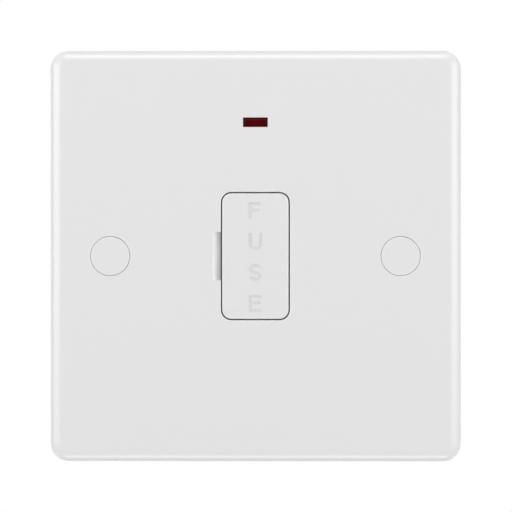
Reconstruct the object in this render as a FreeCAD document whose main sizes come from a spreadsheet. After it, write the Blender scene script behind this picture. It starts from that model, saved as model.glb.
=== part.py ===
import FreeCAD, Part

import math
import os
import re

import Sketcher

# Fused spur unit: a square wall plate with a pull-out fuse carrier, a red
# neon window, two screw caps and a moulded housing that carries the terminals.
#
# The frame: the origin is the centre of the plate's back face, which lies on
# the wall. +Z is up and the front looks along -Y. A height is measured from
# the wall towards the front, so it is -Y, and what lies inside the wall box
# has a negative height.

# Driving sizes in millimetres, and angles in degrees.
SIZES = {
    # wall plate
    "plate_width": 86.0,
    "plate_height": 86.0,
    "plate_depth": 9.0,
    "plate_corner": 4.0,
    "plate_edge_round": 2.6,
    "plate_skin": 2.2,
    "plate_wall": 1.9,
    "plate_draft": 2.5,
    "plate_rib": 1.2,
    "plate_rib_depth": 1.6,
    # wall fixing
    "fixing_spacing": 60.3,
    "fixing_hole": 4.2,
    "fixing_slot": 6.4,
    "fixing_floor": 2.6,
    "fixing_boss_wall": 1.0,
    # screw caps
    "cap_diameter": 8.1,
    "cap_gap": 0.07,
    "cap_thickness": 1.4,
    "cap_skirt_depth": 2.0,
    "cap_skirt_wall": 0.8,
    "cap_slit": 1.2,
    "cap_round": 0.15,
    "cap_seat_bevel": 0.12,
    # fuse carrier
    "carrier_width": 13.8,
    "carrier_margin": 0.35,
    "carrier_corner": 1.9,
    "carrier_gap": 0.25,
    "carrier_head": 4.0,
    "carrier_round": 0.25,
    "aperture_round": 0.25,
    "rail_thickness": 1.3,
    "rail_inset": 0.2,
    "rail_floor_gap": 1.0,
    "rail_end_inset": 1.05,
    "rail_lead_in": 0.3,
    "cradle_clip_gap": 1.9,
    "cradle_wall": 1.4,
    "cradle_gap": 0.05,
    "cradle_grip": 1.8,
    "lever_lip": 1.4,
    "lever_depth": 1.3,
    "lever_height": 8.0,
    # ramp in the plate's face that leads a blade to the carrier's lever slot
    "notch_width": 1.65,
    "notch_height": 10.1,
    "notch_drop": 1.4,
    "notch_round": 0.3,
    # guide wall behind the aperture
    "shroud_wall": 1.2,
    "shroud_depth": 1.6,
    "shroud_gap": 0.2,
    # neon window
    "lens_width": 5.04,
    "lens_height": 1.9,
    "lens_rise": 27.8,
    "lens_gap": 0.05,
    "lens_bevel": 0.45,
    "lens_bevel_drop": 0.25,
    "lens_flange": 1.3,
    "lens_flange_depth": 1.0,
    "lens_frame_wall": 0.9,
    "lens_frame_depth": 1.4,
    # cartridge fuse
    "fuse_length": 25.4,
    "fuse_cap_diameter": 6.35,
    "fuse_cap_length": 5.6,
    "fuse_cap_end": 0.4,
    "fuse_cap_round": 0.35,
    "fuse_tube_diameter": 5.9,
    "fuse_tube_bore": 3.6,
    "fuse_fit": 0.02,
    "fuse_wire_diameter": 0.6,
    "fuse_lift": 0.925,
    # rear housing
    "housing_side_gap": 0.55,
    "housing_wall": 1.8,
    "housing_corner": 2.0,
    "housing_rear_wall": 2.6,
    "housing_round": 0.6,
    "floor_depth": 3.2,
    "floor_thickness": 2.0,
    "chamber_gap": 0.15,
    "rib_thickness": 1.6,
    "bay_width": 20.0,
    "bay_gap": 0.4,
    "bay_wall": 1.6,
    "bay_back": 1.2,
    "bay_floor": 1.1,
    "collar_wall": 1.4,
    "collar_length": 3.0,
    "collar_round": 0.3,
    "access_gap": 0.4,
    "cable_gap": 0.25,
    "wire_notch": 1.7,
    # screws that join housing and plate
    "assembly_inset": 3.3,
    "assembly_z": 10.0,
    "assembly_thread": 2.6,
    "assembly_tip": 0.75,
    "assembly_head": 5.0,
    "assembly_head_depth": 2.0,
    "assembly_gap": 0.05,
    "assembly_boss": 5.2,
    "assembly_boss_height": 4.8,
    "assembly_web": 2.5,
    "screw_clearance": 0.2,
    # terminals
    "terminal_width": 7.5,
    "terminal_length": 7.6,
    "terminal_depth": 9.0,
    "terminal_side_wall": 4.05,
    "cell_wall": 0.8,
    "terminal_gap": 0.2,
    "terminal_bore": 4.5,
    "terminal_bore_wall": 1.2,
    "terminal_chamfer": 0.4,
    "earth_width": 15.0,
    "earth_pitch": 7.2,
    "clamp_thread": 4.0,
    "clamp_length": 6.0,
    "clamp_head": 5.6,
    "clamp_head_depth": 2.2,
    "clamp_gap": 0.05,
    "clamp_lift": 0.2,
    "slot_width": 0.9,
    "slot_depth": 1.0,
    "screw_chamfer": 0.3,
    # contact strips
    "strip_thickness": 0.6,
    "strip_width": 2.6,
    "channel_wall": 0.95,
    "strip_gap": 0.2,
    "strip_tab": 5.8,
    "strip_lap": 5.0,
    "neck_width": 5.8,
    "clip_length": 5.0,
    "clip_gap": 0.05,
    "clip_flare": 0.7,
    "clip_mouth": 1.5,
    "fold_radius": 0.2,
    "link_shift": 0.6,
    "link_width": 3.6,
    # pegs that hold the terminals down
    "peg_diameter": 3.0,
    "peg_shift": 0.7,
    "peg_gap": 0.1,
    # neon lamp and its wiring
    "bulb_diameter": 5.0,
    "bulb_length": 11.0,
    "bulb_pinch": 2.4,
    "bulb_gap": 0.1,
    "lead_diameter": 0.5,
    "lead_spread": 1.4,
    "lead_bend": 0.5,
    "wire_diameter": 1.2,
    "wire_bend": 0.9,
    "wire_gap": 0.3,
    "resistor_diameter": 2.4,
    "resistor_length": 6.4,
    "resistor_round": 0.4,
    "resistor_clear": 1.2,
}

# Values that follow from the driving sizes.
DERIVED = {
    "skin_back": "(plate_depth - plate_skin)",
    "carrier_height": "(fuse_length + 2 * carrier_margin)",
    "aperture_width": "(carrier_width + 2 * carrier_gap)",
    "aperture_height": "(carrier_height + 2 * carrier_gap)",
    "aperture_corner": "(carrier_corner + carrier_gap)",
    "cap_seat": "(cap_diameter + 2 * cap_gap)",
    "fixing_boss": "(cap_seat + 2 * fixing_boss_wall)",
    "shroud_width": "(aperture_width + 2 * shroud_wall)",
    "shroud_height": "(aperture_height + 2 * shroud_wall)",
    "flange_width": "(lens_width + 2 * lens_flange)",
    "flange_height": "(lens_height + 2 * lens_flange)",
    "strip_front": "(floor_depth - strip_thickness)",
    "fuse_height": "(fuse_lift + fuse_cap_diameter / 2 - strip_front)",
    "clip_centre": "((fuse_length - fuse_cap_length) / 2)",
    "clip_inside": "(fuse_cap_diameter / 2 + clip_gap)",
    "rail_length": "(plate_depth - carrier_head + floor_depth - rail_floor_gap)",
    "cradle_height": "(2 * (clip_centre - clip_length / 2 - cradle_clip_gap))",
    "chamber_width": "(aperture_width + 2 * chamber_gap)",
    "chamber_height": "(aperture_height + 2 * chamber_gap)",
    "housing_width": "(fixing_spacing - fixing_boss - 2 * housing_side_gap)",
    "housing_height": "(2 * (terminal_end + terminal_gap + housing_wall))",
    "housing_back": "(terminal_back + terminal_gap + housing_rear_wall)",
    "bay_top": "(lens_rise + flange_height / 2 + lens_gap + lens_frame_wall + bay_gap + bay_wall)",
    "strip_start": "(chamber_height / 2 + channel_wall + strip_gap)",
    "strip_end": "(strip_start + strip_width)",
    "strip_reach": "(terminal_z - terminal_length / 2 + strip_lap)",
    "terminal_x": "(housing_width / 2 - terminal_side_wall - terminal_gap - terminal_width / 2)",
    "terminal_z": "(strip_end + strip_gap + cell_wall + terminal_gap + terminal_length / 2)",
    "terminal_back": "(floor_depth + terminal_depth)",
    "terminal_end": "(terminal_z + terminal_length / 2)",
    "bore_depth": "(floor_depth + terminal_bore_wall + terminal_bore / 2)",
    "cable_hole": "(terminal_bore + 2 * cable_gap)",
    "access_diameter": "(clamp_head + 2 * access_gap)",
    "collar_diameter": "(access_diameter + 2 * collar_wall)",
    "peg_x": "(terminal_x + peg_shift)",
    "peg_z": "(strip_reach - strip_lap / 2)",
    "link_x": "(terminal_x - link_shift)",
    "assembly_x": "(housing_width / 2 - assembly_inset)",
    "assembly_length": "(assembly_web + assembly_gap + assembly_boss_height - assembly_tip)",
    "assembly_boss_end": "(skin_back - assembly_boss_height)",
    "assembly_seat": "(assembly_web - assembly_boss_end + assembly_gap)",
    "clamp_start": "(bore_depth + terminal_bore / 2 + clamp_lift)",
    "bulb_height": "(skin_back - lens_frame_depth - bulb_gap - bulb_diameter / 2)",
    "wire_height": "(bulb_height - bulb_diameter / 2 - bulb_gap - wire_diameter / 2)",
    "wire_end_x": "(peg_x - peg_diameter / 2 - wire_gap - wire_diameter / 2)",
    "wire_end_z": "(strip_reach - wire_diameter / 2)",
    "wire_crossing": "(wire_end_z + wire_notch)",
    "resistor_z": "(wire_crossing - wire_diameter / 2 - resistor_diameter / 2 - resistor_clear)",
    "resistor_height": "(peg_gap + resistor_diameter / 2 - floor_depth)",
}

os.makedirs("parts", exist_ok=True)
doc = FreeCAD.newDocument("fused_spur_unit")
sheet = doc.addObject("Spreadsheet::Sheet", "Sizes")
for row, (name, size) in enumerate(SIZES.items(), start=1):
    sheet.set(f"A{row}", name)
    sheet.set(f"B{row}", str(size))
    sheet.setAlias(f"B{row}", name)
doc.recompute()


def formula(text):
    """The text as an expression: derived values written out, sizes read from the sheet."""
    while any(word in DERIVED for word in re.findall(r"[a-z_]+", text)):
        text = re.sub(r"[a-z_]+", lambda word: DERIVED.get(word[0], word[0]), text)
    return re.sub(r"[a-z_]+", lambda word: f"Sizes.{word[0]}" if word[0] in SIZES else word[0], text)


def value(text):
    """The present number of a formula."""
    return float(sheet.evalExpression(formula(text)))


def bind(thing, prop, text):
    """Tie a property of an object to a formula."""
    thing.setExpression(prop, formula(text))


# Sketches

QUARTER = math.pi / 2


def sketch(body, name, plane, offset):
    """Empty sketch parallel to one of the body's own planes: XZ looks along the
    height, XY along Z."""
    drawing = body.newObject("Sketcher::SketchObject", name)
    support = next(item for item in body.Origin.OriginFeatures if item.Role == plane + "_Plane")
    drawing.AttachmentSupport = [(support, "")]
    drawing.MapMode = "FlatFace"
    bind(drawing, "AttachmentOffset.Base.z", offset)
    return drawing


def pin(drawing, kind, geometry, point, text):
    """Fix one coordinate of a point, from the sketch's origin."""
    index = drawing.addConstraint(Sketcher.Constraint(kind, geometry, point, value(text)))
    bind(drawing, f"Constraints[{index}]", text)


def polygon(drawing, corners):
    """Closed outline of straight sides through the corners."""
    points = [FreeCAD.Vector(value(x), value(y), 0) for x, y in corners]
    first = drawing.GeometryCount
    count = len(points)
    for place in range(count):
        drawing.addGeometry(Part.LineSegment(points[place], points[(place + 1) % count]), False)
    for place, (x, y) in enumerate(corners):
        before = first + (place - 1) % count
        drawing.addConstraint(Sketcher.Constraint("Coincident", before, 2, first + place, 1))
        pin(drawing, "DistanceX", first + place, 1, x)
        pin(drawing, "DistanceY", first + place, 1, y)


def rectangle(drawing, x, y, width, height):
    """Sharp rectangle about a centre."""
    left, right = f"({x}) - ({width}) / 2", f"({x}) + ({width}) / 2"
    bottom, top = f"({y}) - ({height}) / 2", f"({y}) + ({height}) / 2"
    polygon(drawing, [(left, bottom), (right, bottom), (right, top), (left, top)])


def span(drawing, left, right, bottom, top):
    """Sharp rectangle between four limits."""
    polygon(drawing, [(left, bottom), (right, bottom), (right, top), (left, top)])


def rounded_rectangle(drawing, x, y, width, height, radius):
    """Rectangle about a centre with four equal round corners."""
    left = value(f"({x}) - ({width}) / 2")
    right = value(f"({x}) + ({width}) / 2")
    bottom = value(f"({y}) - ({height}) / 2")
    top = value(f"({y}) + ({height}) / 2")
    bend = value(radius)
    sides = [
        ((left + bend, bottom), (right - bend, bottom)),
        ((right, bottom + bend), (right, top - bend)),
        ((right - bend, top), (left + bend, top)),
        ((left, top - bend), (left, bottom + bend)),
    ]
    centres = [
        (right - bend, bottom + bend),
        (right - bend, top - bend),
        (left + bend, top - bend),
        (left + bend, bottom + bend),
    ]
    first = drawing.GeometryCount
    for start, end in sides:
        drawing.addGeometry(Part.LineSegment(FreeCAD.Vector(*start, 0), FreeCAD.Vector(*end, 0)), False)
    for place, centre in enumerate(centres):
        ring = Part.Circle(FreeCAD.Vector(*centre, 0), FreeCAD.Vector(0, 0, 1), bend)
        start = (place - 1) * QUARTER
        drawing.addGeometry(Part.ArcOfCircle(ring, start, start + QUARTER), False)
    for place in range(4):
        line, arc = first + place, first + 4 + place
        following = first + (place + 1) % 4
        drawing.addConstraint(Sketcher.Constraint("Tangent", line, 2, arc, 1))
        drawing.addConstraint(Sketcher.Constraint("Tangent", arc, 2, following, 1))
        if place:
            drawing.addConstraint(Sketcher.Constraint("Equal", first + 4, arc))
        direction = "Vertical" if place % 2 else "Horizontal"
        drawing.addConstraint(Sketcher.Constraint(direction, line))
    index = drawing.addConstraint(Sketcher.Constraint("Radius", first + 4, bend))
    bind(drawing, f"Constraints[{index}]", radius)
    pin(drawing, "DistanceY", first, 1, f"({y}) - ({height}) / 2")
    pin(drawing, "DistanceX", first + 1, 1, f"({x}) + ({width}) / 2")
    pin(drawing, "DistanceY", first + 2, 1, f"({y}) + ({height}) / 2")
    pin(drawing, "DistanceX", first + 3, 1, f"({x}) - ({width}) / 2")


def circle(drawing, x, y, diameter):
    """Full circle about a centre."""
    centre = FreeCAD.Vector(value(x), value(y), 0)
    ring = Part.Circle(centre, FreeCAD.Vector(0, 0, 1), value(diameter) / 2)
    place = drawing.addGeometry(ring, False)
    index = drawing.addConstraint(Sketcher.Constraint("Diameter", place, value(diameter)))
    bind(drawing, f"Constraints[{index}]", diameter)
    pin(drawing, "DistanceX", place, 3, x)
    pin(drawing, "DistanceY", place, 3, y)


def slot(drawing, x, y, length, width):
    """Level slot about a centre, with half-round ends."""
    half_run = value(f"(({length}) - ({width})) / 2")
    radius = value(width) / 2
    middle, level = value(x), value(y)
    up = FreeCAD.Vector(0, 0, 1)
    left = FreeCAD.Vector(middle - half_run, level, 0)
    right = FreeCAD.Vector(middle + half_run, level, 0)
    rise = FreeCAD.Vector(0, radius, 0)
    first = drawing.GeometryCount
    drawing.addGeometry(Part.LineSegment(left - rise, right - rise), False)
    drawing.addGeometry(Part.ArcOfCircle(Part.Circle(right, up, radius), -QUARTER, QUARTER), False)
    drawing.addGeometry(Part.LineSegment(right + rise, left + rise), False)
    drawing.addGeometry(Part.ArcOfCircle(Part.Circle(left, up, radius), QUARTER, 3 * QUARTER), False)
    for place in range(4):
        following = first + (place + 1) % 4
        drawing.addConstraint(Sketcher.Constraint("Tangent", first + place, 2, following, 1))
    drawing.addConstraint(Sketcher.Constraint("Horizontal", first))
    index = drawing.addConstraint(Sketcher.Constraint("Diameter", first + 1, value(width)))
    bind(drawing, f"Constraints[{index}]", width)
    pin(drawing, "DistanceX", first + 1, 3, f"({x}) + (({length}) - ({width})) / 2")
    pin(drawing, "DistanceX", first + 3, 3, f"({x}) - (({length}) - ({width})) / 2")
    pin(drawing, "DistanceY", first + 1, 3, y)


# Features

SAME_PLACE = 1e-4
BEVEL_ANGLE = 45


def new_body(label):
    """Empty body of one sub-part."""
    body = doc.addObject("PartDesign::Body", label)
    body.Label = label
    return body


def pad(body, name, drawing, length, symmetric=False):
    """Add material on the side that the sketch faces."""
    feature = body.newObject("PartDesign::Pad", name)
    feature.Profile = drawing
    feature.Midplane = symmetric
    bind(feature, "Length", length)
    return feature


def pocket(body, name, drawing, length, forward=False, symmetric=False):
    """Cut away from the sketch's face, or forward on the side that it faces."""
    feature = body.newObject("PartDesign::Pocket", name)
    feature.Profile = drawing
    feature.Midplane = symmetric
    feature.Reversed = forward
    bind(feature, "Length", length)
    return feature


def revolution(body, name, drawing):
    """Turn a sketch about its upright axis."""
    feature = body.newObject("PartDesign::Revolution", name)
    feature.Profile = drawing
    feature.ReferenceAxis = (drawing, ["V_Axis"])
    feature.Angle = 360
    return feature


def edges_where(body, test=None, **levels):
    """Names of the edges that lie wholly at the given levels, such as X="0", and
    pass a further test."""
    doc.recompute()
    places = {axis: value(level) for axis, level in levels.items()}
    names = []
    for number, edge in enumerate(body.Tip.Shape.Edges, start=1):
        box = edge.BoundBox
        strays = [abs(getattr(box, axis + end) - place)
                  for axis, place in places.items() for end in ("Min", "Max")]
        if max(strays) < SAME_PLACE and (test is None or test(edge)):
            names.append(f"Edge{number}")
    return names


def edges_at_height(body, height, test=None):
    """Names of the edges that lie wholly at one height."""
    return edges_where(body, test, Y=f"-({height})")


def dress(body, kind, name, edges, prop, size):
    """Fillet or chamfer on named edges of the body as it stands."""
    base = body.Tip
    feature = body.newObject("PartDesign::" + kind, name)
    feature.Base = (base, edges)
    bind(feature, prop, size)
    return feature


def copies(label, master, places):
    """One node of equal solids: links to a master body, joined in a compound."""
    links = []
    for number, (x, y, z) in enumerate(places, start=1):
        link = doc.addObject("App::Link", f"{label}_{number}")
        link.LinkedObject = master
        bind(link, "Placement.Base.x", x)
        bind(link, "Placement.Base.y", y)
        bind(link, "Placement.Base.z", z)
        links.append(link)
    group = doc.addObject("Part::Compound", label)
    group.Links = links
    group.Label = label
    return group


def signed(text, sign):
    """A formula with a sign of plus or minus one."""
    return f"{sign} * ({text})"


# Front plate

PLUS_MINUS = (1, -1)
FIXING_X = [signed("fixing_spacing / 2", side) for side in PLUS_MINUS]
ASSEMBLY_PLACES = [
    (signed("assembly_x", side), signed("assembly_z", rise)) for side in PLUS_MINUS for rise in PLUS_MINUS
]
TERMINAL_PLACES = [
    (signed("terminal_x", side), signed("terminal_z", rise)) for side in PLUS_MINUS for rise in PLUS_MINUS
]
EARTH_X = [signed("earth_pitch / 2", side) for side in PLUS_MINUS]
CLAMP_PLACES = TERMINAL_PLACES + [(x, "-terminal_z") for x in EARTH_X]


def front_plate():
    body = new_body("front_plate")

    outline = sketch(body, "plate_outline", "XZ", "0")
    rounded_rectangle(outline, "0", "0", "plate_width", "plate_height", "plate_corner")
    bind(pad(body, "plate_block", outline, "plate_depth"), "TaperAngle", "-plate_draft * 1 deg")
    dress(body, "Fillet", "plate_soft_edge", edges_at_height(body, "plate_depth"),
          "Radius", "plate_edge_round")

    hollow = sketch(body, "hollow_outline", "XZ", "0")
    rounded_rectangle(hollow, "0", "0", "plate_width - 2 * plate_wall", "plate_height - 2 * plate_wall",
                      "plate_corner - plate_wall")
    cut = pocket(body, "plate_hollow", hollow, "skin_back", forward=True)
    bind(cut, "TaperAngle", "-plate_draft * 1 deg")

    ribs = sketch(body, "rib_outlines", "XZ", "skin_back - plate_rib_depth")
    for x in FIXING_X:
        rectangle(ribs, x, "0", "plate_rib", "plate_height - plate_wall")
    pad(body, "upright_ribs", ribs, "plate_rib_depth")
    ribs = sketch(body, "level_rib_outlines", "XZ", "skin_back - plate_rib_depth")
    for sign in PLUS_MINUS:
        rectangle(ribs, "0", signed("(bay_top + plate_height / 2 - plate_wall) / 2", sign),
                  "plate_width - plate_wall", "plate_rib")
    pad(body, "level_ribs", ribs, "plate_rib_depth")

    bosses = sketch(body, "fixing_bosses", "XZ", "0")
    for x in FIXING_X:
        circle(bosses, x, "0", "fixing_boss")
    pad(body, "fixing_pillars", bosses, "skin_back")

    posts = sketch(body, "assembly_posts", "XZ", "assembly_boss_end")
    for x, z in ASSEMBLY_PLACES:
        circle(posts, x, z, "assembly_boss")
    pad(body, "assembly_pillars", posts, "assembly_boss_height")

    pegs = sketch(body, "peg_ends", "XZ", "peg_gap - strip_front")
    for side in PLUS_MINUS:
        for rise in PLUS_MINUS:
            circle(pegs, signed("peg_x", side), signed("peg_z", rise), "peg_diameter")
    pad(body, "terminal_pegs", pegs, "skin_back + strip_front - peg_gap")
    earth_peg = sketch(body, "earth_peg_end", "XZ", "peg_gap - floor_depth")
    circle(earth_peg, "0", "-terminal_z", "peg_diameter")
    pad(body, "earth_peg", earth_peg, "skin_back + floor_depth - peg_gap")

    shroud = sketch(body, "shroud_outline", "XZ", "skin_back - shroud_depth")
    rounded_rectangle(shroud, "0", "0", "shroud_width", "shroud_height", "aperture_corner + shroud_wall")
    pad(body, "carrier_shroud", shroud, "shroud_depth")

    frame = sketch(body, "lens_frame_outline", "XZ", "skin_back - lens_frame_depth")
    rectangle(frame, "0", "lens_rise", "flange_width + 2 * lens_gap + 2 * lens_frame_wall",
              "flange_height + 2 * lens_gap + 2 * lens_frame_wall")
    pad(body, "lens_frame", frame, "lens_frame_depth")
    seat = sketch(body, "lens_seat_outline", "XZ", "skin_back - lens_frame_depth")
    rectangle(seat, "0", "lens_rise", "flange_width + 2 * lens_gap", "flange_height + 2 * lens_gap")
    pocket(body, "lens_seat", seat, "lens_frame_depth", forward=True)

    aperture = sketch(body, "aperture_outline", "XZ", "plate_depth")
    rounded_rectangle(aperture, "0", "0", "aperture_width", "aperture_height", "aperture_corner")
    pocket(body, "carrier_aperture", aperture, "plate_skin + shroud_depth")
    rim = edges_at_height(body, "plate_depth", lambda edge: edge.BoundBox.XMax < value("aperture_width")
                          and edge.BoundBox.XMin > -value("aperture_width"))
    dress(body, "Fillet", "aperture_soft_edge", rim, "Radius", "aperture_round")

    window = sketch(body, "window_outline", "XZ", "plate_depth")
    rectangle(window, "0", "lens_rise", "lens_width + 2 * lens_gap", "lens_height + 2 * lens_gap")
    pocket(body, "lens_window", window, "plate_skin")

    seats = sketch(body, "cap_seats", "XZ", "plate_depth")
    for x in FIXING_X:
        circle(seats, x, "0", "cap_seat")
    pocket(body, "screw_recesses", seats, "plate_depth - fixing_floor")
    rims = sketch(body, "cap_seat_rims", "XZ", "plate_depth")
    for x in FIXING_X:
        circle(rims, x, "0", "cap_seat + 2 * cap_seat_bevel")
    bevels = pocket(body, "recess_bevels", rims, "cap_seat_bevel")
    bevels.TaperAngle = -BEVEL_ANGLE
    slots = sketch(body, "fixing_slots", "XZ", "fixing_floor")
    for x in FIXING_X:
        slot(slots, x, "0", "fixing_slot", "fixing_hole")
    pocket(body, "screw_slots", slots, "fixing_floor")

    pilots = sketch(body, "assembly_pilots", "XZ", "assembly_boss_end")
    for x, z in ASSEMBLY_PLACES:
        circle(pilots, x, z, "assembly_thread + 2 * assembly_gap")
    pocket(body, "pilot_holes", pilots, "assembly_boss_height", forward=True)

    lever_notch(body)
    return body


def lever_notch(body):
    """Ramp down to the carrier's side, with a soft upper edge."""
    drawing = sketch(body, "notch_section", "XY", "0")
    left, right = "-aperture_width / 2 - notch_width", "-aperture_width / 2"
    past = "-aperture_width / 2 + notch_width"
    face, foot, clear = "-plate_depth", "notch_drop - plate_depth", "-plate_depth - notch_drop"
    polygon(drawing, [(left, face), (right, foot), (past, foot), (past, clear), (left, clear)])
    pocket(body, "lever_notch", drawing, "notch_height", symmetric=True)
    dress(body, "Fillet", "notch_soft_edge", edges_where(body, X=left, Y=face), "Radius", "notch_round")


# Screw caps


def screw_cap(label, x):
    """Disc with a split skirt that springs into the screw recess."""
    body = new_body(label)
    profile = sketch(body, label + "_profile", "XY", "0")
    front = "-plate_depth"
    under = "cap_thickness - plate_depth"
    end = "cap_thickness + cap_skirt_depth - plate_depth"
    outside, inside = "cap_diameter / 2", "cap_diameter / 2 - cap_skirt_wall"
    polygon(profile, [("0", front), (outside, front), (outside, end), (inside, end), (inside, under),
                      ("0", under)])
    revolution(body, label + "_turned", profile)
    slits = sketch(body, label + "_slit_section", "XZ", "plate_depth - cap_thickness")
    reach = "cap_diameter + 2 * cap_gap"
    half = "cap_slit / 2"
    far = f"({reach}) / 2"
    polygon(slits, [
        (f"-{far}", f"-{half}"), (f"-{half}", f"-{half}"), (f"-{half}", f"-{far}"), (half, f"-{far}"),
        (half, f"-{half}"), (far, f"-{half}"), (far, half), (half, half), (half, far), (f"-{half}", far),
        (f"-{half}", half), (f"-{far}", half),
    ])
    pocket(body, label + "_slits", slits, "cap_skirt_depth")
    dress(body, "Fillet", label + "_rim", edges_at_height(body, "plate_depth"), "Radius", "cap_round")
    bind(body, "Placement.Base.x", x)
    return body


# Neon window


def neon_lens():
    """Red light pipe: a bevelled block in the window, with a flange behind the skin."""
    body = new_body("neon_lens")
    face = sketch(body, "lens_outline", "XZ", "skin_back")
    rectangle(face, "0", "0", "lens_width", "lens_height")
    pad(body, "lens_block", face, "plate_skin")
    bevel = dress(body, "Chamfer", "lens_bevel_cut", edges_at_height(body, "plate_depth"),
                  "Size", "lens_bevel_drop")
    bevel.ChamferType = "Two distances"
    bevel.FlipDirection = False
    bind(bevel, "Size2", "lens_bevel")
    flange = sketch(body, "lens_flange_outline", "XZ", "skin_back - lens_flange_depth")
    rectangle(flange, "0", "0", "flange_width", "flange_height")
    pad(body, "lens_flange", flange, "lens_flange_depth")
    bind(body, "Placement.Base.z", "lens_rise")
    return body


# Fuse carrier and cartridge fuse


def fuse_carrier():
    """Head that closes the aperture, side rails, and a cradle that grips the fuse."""
    body = new_body("fuse_carrier")
    head = sketch(body, "carrier_outline", "XZ", "plate_depth - carrier_head")
    rounded_rectangle(head, "0", "0", "carrier_width", "carrier_height", "carrier_corner")
    pad(body, "carrier_head", head, "carrier_head")
    dress(body, "Fillet", "carrier_soft_edge", edges_at_height(body, "plate_depth"),
          "Radius", "carrier_round")

    rails = sketch(body, "rail_outline", "XZ", "plate_depth - carrier_head - rail_length")
    for side in PLUS_MINUS:
        rectangle(rails, signed("carrier_width / 2 - rail_inset - rail_thickness / 2", side), "0",
                  "rail_thickness", "carrier_height - 2 * rail_end_inset")
    pad(body, "carrier_rails", rails, "rail_length")
    dress(body, "Chamfer", "rail_lead_ins",
          edges_at_height(body, "plate_depth - carrier_head - rail_length"), "Size", "rail_lead_in")

    cradle_outside = "fuse_tube_diameter + 2 * cradle_gap + 2 * cradle_wall"
    cradle = sketch(body, "cradle_outline", "XZ", "fuse_height - cradle_grip")
    rectangle(cradle, "0", "0", cradle_outside, "cradle_height")
    pad(body, "cradle_block", cradle, "plate_depth - carrier_head - fuse_height + cradle_grip")
    bore = sketch(body, "cradle_bore_outline", "XY", "0")
    circle(bore, "0", "-fuse_height", "fuse_tube_diameter + 2 * cradle_gap")
    pocket(body, "cradle_bore", bore, "cradle_height", symmetric=True)

    lever = sketch(body, "lever_outline", "XY", "0")
    span(lever, "-carrier_width / 2", "lever_depth - carrier_width / 2",
         "lever_lip - plate_depth", "carrier_head - plate_depth")
    pocket(body, "lever_slot", lever, "lever_height", symmetric=True)
    return body


def turned(label, radii_and_rises):
    """Solid turned about an upright line at the fuse's axis."""
    body = new_body(label)
    profile = sketch(body, label + "_profile", "XZ", "fuse_height")
    polygon(profile, radii_and_rises)
    revolution(body, label + "_turned", profile)
    return body


def fuse_cap(label, sign):
    """Brass cap pressed over one end of the tube."""
    outside = "fuse_cap_diameter / 2"
    inside = "fuse_tube_diameter / 2 + fuse_fit"
    mouth = signed("fuse_length / 2 - fuse_cap_length", sign)
    under = signed("fuse_length / 2 - fuse_cap_end", sign)
    end = signed("fuse_length / 2", sign)
    body = turned(label, [(inside, mouth), (outside, mouth), (outside, end), ("0", end), ("0", under),
                          (inside, under)])
    dress(body, "Fillet", label + "_soft_end", edges_where(body, Z=end), "Radius", "fuse_cap_round")
    return body


def fuse_tube():
    """Ceramic tube of the cartridge fuse."""
    inside, outside = "fuse_tube_bore / 2", "fuse_tube_diameter / 2"
    top = "fuse_length / 2 - fuse_cap_end"
    return turned("fuse_tube", [(inside, f"-({top})"), (outside, f"-({top})"), (outside, top),
                                (inside, top)])


def fuse_wire():
    """Thin element between the two caps."""
    top = "fuse_length / 2 - fuse_cap_end"
    radius = "fuse_wire_diameter / 2"
    return turned("fuse_wire", [("0", f"-({top})"), (radius, f"-({top})"), (radius, top), ("0", top)])


# Contact strips


def strip_outline(drawing, sign, gap):
    """Neck below the clip, level run, and the tab that lies on the live terminal."""
    neck = f"(neck_width / 2 + {gap})"
    low, high = f"(strip_start - {gap})", f"(strip_end + {gap})"
    tab_left = f"(terminal_x - strip_tab / 2 - {gap})"
    tab_right = f"(terminal_x + strip_tab / 2 + {gap})"
    foot = f"(clip_centre - clip_length / 2 - {gap})"
    end = f"(strip_reach + {gap})"
    corners = [(f"-{neck}", foot), (neck, foot), (neck, low), (tab_right, low), (tab_right, end),
               (tab_left, end), (tab_left, high), (f"-{neck}", high)]
    polygon(drawing, [(x, signed(z, sign)) for x, z in corners])


def fuse_contact(label, sign):
    """Sprung clip for a fuse cap, folded from the strip that leads to its terminal."""
    body = new_body(label)
    drawing = sketch(body, label + "_outline", "XZ", "-floor_depth")
    strip_outline(drawing, sign, "0")
    pad(body, label + "_strip", drawing, "strip_thickness")
    base = sketch(body, label + "_base_outline", "XZ", "-floor_depth")
    rectangle(base, "0", signed("clip_centre", sign), "2 * clip_inside + 2 * strip_thickness",
              "clip_length")
    pad(body, label + "_base", base, "strip_thickness")
    arms = sketch(body, label + "_arms_section", "XY", signed("clip_centre", sign))
    root, bend, tip = "strip_front", "-fuse_height - clip_mouth / 4", "-fuse_height - clip_mouth"
    for side in PLUS_MINUS:
        inside, outside = "clip_inside", "clip_inside + strip_thickness"
        corners = [(inside, root), (outside, root), (outside, bend), (f"{outside} + clip_flare", tip),
                   (f"{inside} + clip_flare", tip), (inside, bend)]
        polygon(arms, [(signed(x, side), y) for x, y in corners])
    pad(body, label + "_arms", arms, "clip_length", symmetric=True)
    for number, side in enumerate(PLUS_MINUS, start=1):
        inner = edges_where(body, X=signed("clip_inside", side), Y="strip_front")
        dress(body, "Fillet", f"{label}_inner_fold_{number}", inner, "Radius", "fold_radius")
        outer = edges_where(body, X=signed("clip_inside + strip_thickness", side), Y="floor_depth")
        dress(body, "Fillet", f"{label}_outer_fold_{number}", outer,
              "Radius", "fold_radius + strip_thickness")
    return body


def neutral_link():
    """Straight strip that joins the two neutral terminals."""
    body = new_body("neutral_link")
    drawing = sketch(body, "link_outline", "XZ", "-floor_depth")
    rectangle(drawing, "-link_x", "0", "link_width", "2 * strip_reach")
    pad(body, "link_strip", drawing, "strip_thickness")
    return body


# Terminals and screws


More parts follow.
